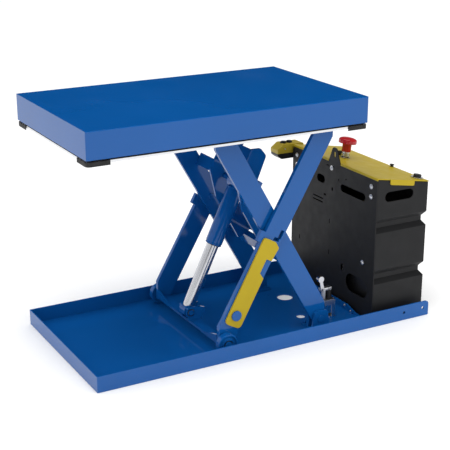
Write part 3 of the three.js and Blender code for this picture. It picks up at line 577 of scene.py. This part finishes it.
def lid_fittings():
    """The knob near the lid's far edge and the charge socket's ring."""
    matrix = lid_frame(584, -60)
    knob = [(0, 0.2), (7, 0.2), (7.4, 1), (5, 2), (4.6, 4), (7.4, 5.4), (8, 7.4), (6.8, 8.8), (0, 9.2)]
    soften(turned("lid_knob", knob, matrix, 56, "lid", "black_plastic"), 0.5, 2, 25)
    low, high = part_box("charge_socket")
    middle = (low + high) / 2 / MM
    matrix = lid_frame(middle.x - 1, middle.y)
    ring = [(13.6, 3.6), (19.6, 3.6), (20, 3.2), (20, 0.3), (13.6, 0.3)]
    soften(turned("charge_ring", ring, matrix, 64, "lid", "chrome"), 0.3, 2)


# ---------------------------------------------------------------- pendant and travel switch

def pendant_details():
    """Two small screws in the pendant's side, and a bezel and a dished cap for each button."""
    low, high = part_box("pendant_case")
    for index, x in enumerate((low.x + 30 * MM, high.x - 12 * MM)):
        place = Vector((x, low.y - 0.2 * MM, low.z + 15.6 * MM))
        button_screw(f"pendant_screw_{index + 1}", place, (0, -1, 0), "pendant", 1.8)
    for name in ("up", "down"):
        node_low, node_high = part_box(f"pendant_button_{name}")
        middle = (node_low + node_high) / 2
        bezel = [(9.4, 0), (11.6, 0), (11.2, 1.4), (9.9, 1.4)]
        matrix = frame_on(Vector((middle.x, middle.y, high.z)), (0, 0, 1))
        turned(f"pendant_bezel_{name}", bezel, matrix, 48, "pendant", "black_plastic")
        cap = [(0, 0.2), (8.9, 0.2), (8.9, 1.8), (7.9, 2.8), (0, 2.2)]
        matrix = frame_on(Vector((middle.x, middle.y, node_high.z - 0.2 * MM)), (0, 0, 1))
        turned(f"pendant_cap_{name}", cap, matrix, 48, f"pendant_button_{name}", "black_plastic")


def switch_details():
    """Screws through the switch's bracket, a cap on its body and a hub on its lever."""
    low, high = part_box("switch_bracket")
    for index, x in enumerate((low.x + 7 * MM, low.x + 34 * MM)):
        place = Vector((x, low.y, high.z - 5.6 * MM))
        button_screw(f"switch_screw_{index + 1}", place, (0, -1, 0), "base", 1.9)
    low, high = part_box("travel_switch")
    middle = (low + high) / 2
    cover = [(0, 0), (9.4, 0), (10.2, 0.8), (10.2, 3), (9, 3.6), (9, 4.2), (0, 4.2)]
    matrix = frame_on(Vector((middle.x, middle.y, high.z)), (0, 0, 1))
    soften(turned("switch_cover", cover, matrix, 56, "base", "black_plastic"), 0.4, 2)
    pivot = Vector(JOINTS["switch_lever_turn"]["pos_m"])
    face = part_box("switch_lever")[0].y
    hub = [(0, 0), (3.6, 0), (3.6, 1.2), (2.4, 2), (0, 2.2)]
    matrix = frame_on(Vector((pivot.x, face, pivot.z)), (0, -1, 0))
    turned("lever_hub", hub, matrix, 40, "switch_lever", "zinc_steel")


def gap_shade_strip():
    """A black strip behind the toe guard's rail, standing in for the shade in the gap under the skirt: painted
    shade.
    """
    low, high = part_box("toe_guard_rail")
    outer = 6.8 * MM
    inner = outer + 2 * MM
    top = high.z + 11 * MM
    bm = bmesh.new()
    loops = []
    for depth, z in ((outer, low.z), (outer, top), (inner, top), (inner, low.z)):
        corners = [(low.x + depth, low.y + depth), (high.x - depth, low.y + depth),
                   (high.x - depth, high.y - depth), (low.x + depth, high.y - depth)]
        loops.append([bm.verts.new((x, y, z)) for x, y in corners])
    for first, second in zip(loops, loops[1:] + loops[:1]):
        for index in range(4):
            after = (index + 1) % 4
            bm.faces.new([first[index], first[after], second[after], second[index]])
    mesh = finished("gap_shade_strip", bm, Matrix())
    # black strip as painted shade in the gap under the skirt
    soften(add_piece("gap_shade_strip", mesh, "platform", "black_rubber"), 0.3, 2)


# ---------------------------------------------------------------- stage, light and camera

def stage_floor():
    """A plain white floor just under the part."""
    mesh = bpy.data.meshes.new("floor")
    half = FLOOR_HALF
    level = CAD_BOX[0][2] - 0.3 * MM
    corners = [(-half, -half, level), (half, -half, level), (half, half, level), (-half, half, level)]
    mesh.from_pydata(corners, [], [(0, 1, 2, 3)])
    paint = Paint("floor_paint")
    tone = paint.between(paint.noise(0.7, 2), 0, 1)
    paint.colour(tone, tint(FLOOR_COLOUR, 0.99), FLOOR_COLOUR)
    paint.set(Roughness=1.0, Specular_IOR_Level=0.0)
    paint.set(Emission_Color=(1, 1, 1, 1), Emission_Strength=FLOOR_GLOW)
    mesh.materials.append(paint.material)
    floor = bpy.data.objects.new("floor", mesh)
    bpy.context.scene.collection.objects.link(floor)


def softbox(name, place, size, power):
    """A rectangular light aimed at the middle of the table and hidden from the camera."""
    light = bpy.data.lights.new(name, "AREA")
    light.shape = "RECTANGLE"
    light.size, light.size_y = size
    light.energy = power
    thing = bpy.data.objects.new(name, light)
    bpy.context.scene.collection.objects.link(thing)
    thing.location = place
    aim = LIGHT_TARGET - Vector(place)
    thing.rotation_euler = aim.to_track_quat("-Z", "Y").to_euler()
    thing.visible_camera = False
    return thing


def studio_world():
    """A white room; reflections see it bright near the horizon only, dark above."""
    world = bpy.data.worlds.new("studio")
    world.use_nodes = True
    nodes = world.node_tree.nodes
    links = world.node_tree.links
    direction = nodes.new("ShaderNodeTexCoord").outputs["Generated"]
    height = nodes.new("ShaderNodeSeparateXYZ")
    links.new(direction, height.inputs["Vector"])
    fade = nodes.new("ShaderNodeMapRange")
    fade.inputs["From Min"].default_value = HORIZON_FADE[0]
    fade.inputs["From Max"].default_value = HORIZON_FADE[1]
    fade.inputs["To Min"].default_value = 1.0
    fade.inputs["To Max"].default_value = 0.0
    links.new(height.outputs["Z"], fade.inputs["Value"])
    ray = nodes.new("ShaderNodeLightPath")
    level = nodes.new("ShaderNodeMix")
    level.inputs["A"].default_value = SKY_STRENGTH
    links.new(ray.outputs["Is Glossy Ray"], level.inputs["Factor"])
    links.new(fade.outputs["Result"], level.inputs["B"])
    background = nodes["Background"]
    background.inputs["Color"].default_value = (1, 1, 1, 1)
    links.new(level.outputs["Result"], background.inputs["Strength"])
    world.cycles.sampling_method = "NONE"    # sampling the world as a light would skip the ray test
    bpy.context.scene.world = world


def studio_light():
    """A broad light above, a weak one on the right and two cards that only show as reflections."""
    studio_world()
    softbox("overhead_box", (-0.6, -0.8, 4.2), (3.0, 2.2), 60)
    for card in (
        softbox("left_card", (-4.6, -0.8, 1.9), (4.5, 2.6), 28),
        softbox("back_left_card", (-3.8, 3.6, 1.8), (6.0, 2.4), 34),
    ):
        card.visible_diffuse = False
    strip = softbox("right_strip", (3.4, -2.4, 1.8), (0.5, 2.4), 12)
    strip.visible_glossy = False


def photo_camera():
    """The still camera, in front on the left and a little above."""
    camera = bpy.data.cameras.new("camera")
    camera.lens = CAMERA_LENS
    camera.sensor_width = SENSOR
    thing = bpy.data.objects.new("camera", camera)
    bpy.context.scene.collection.objects.link(thing)
    flat = math.cos(CAMERA_PITCH)
    aim = Vector((math.sin(CAMERA_YAW) * flat, math.cos(CAMERA_YAW) * flat, -math.sin(CAMERA_PITCH)))
    thing.location = CAMERA_PLACE
    thing.rotation_euler = aim.to_track_quat("-Z", "Y").to_euler()
    camera.clip_end = 100
    bpy.context.scene.camera = thing


# ---------------------------------------------------------------- the scene

photo_camera()
dress_cad_nodes()
hydraulic_cylinder()
rollers()
emergency_stop()
lid_fittings()
pendant_details()
switch_details()
# black strip that paints the shade in the gap under the skirt
gap_shade_strip()
unit_screws()
base_bolts()
pin_ends()
stage_floor()
studio_light()
bpy.context.scene.view_settings.view_transform = "Standard"
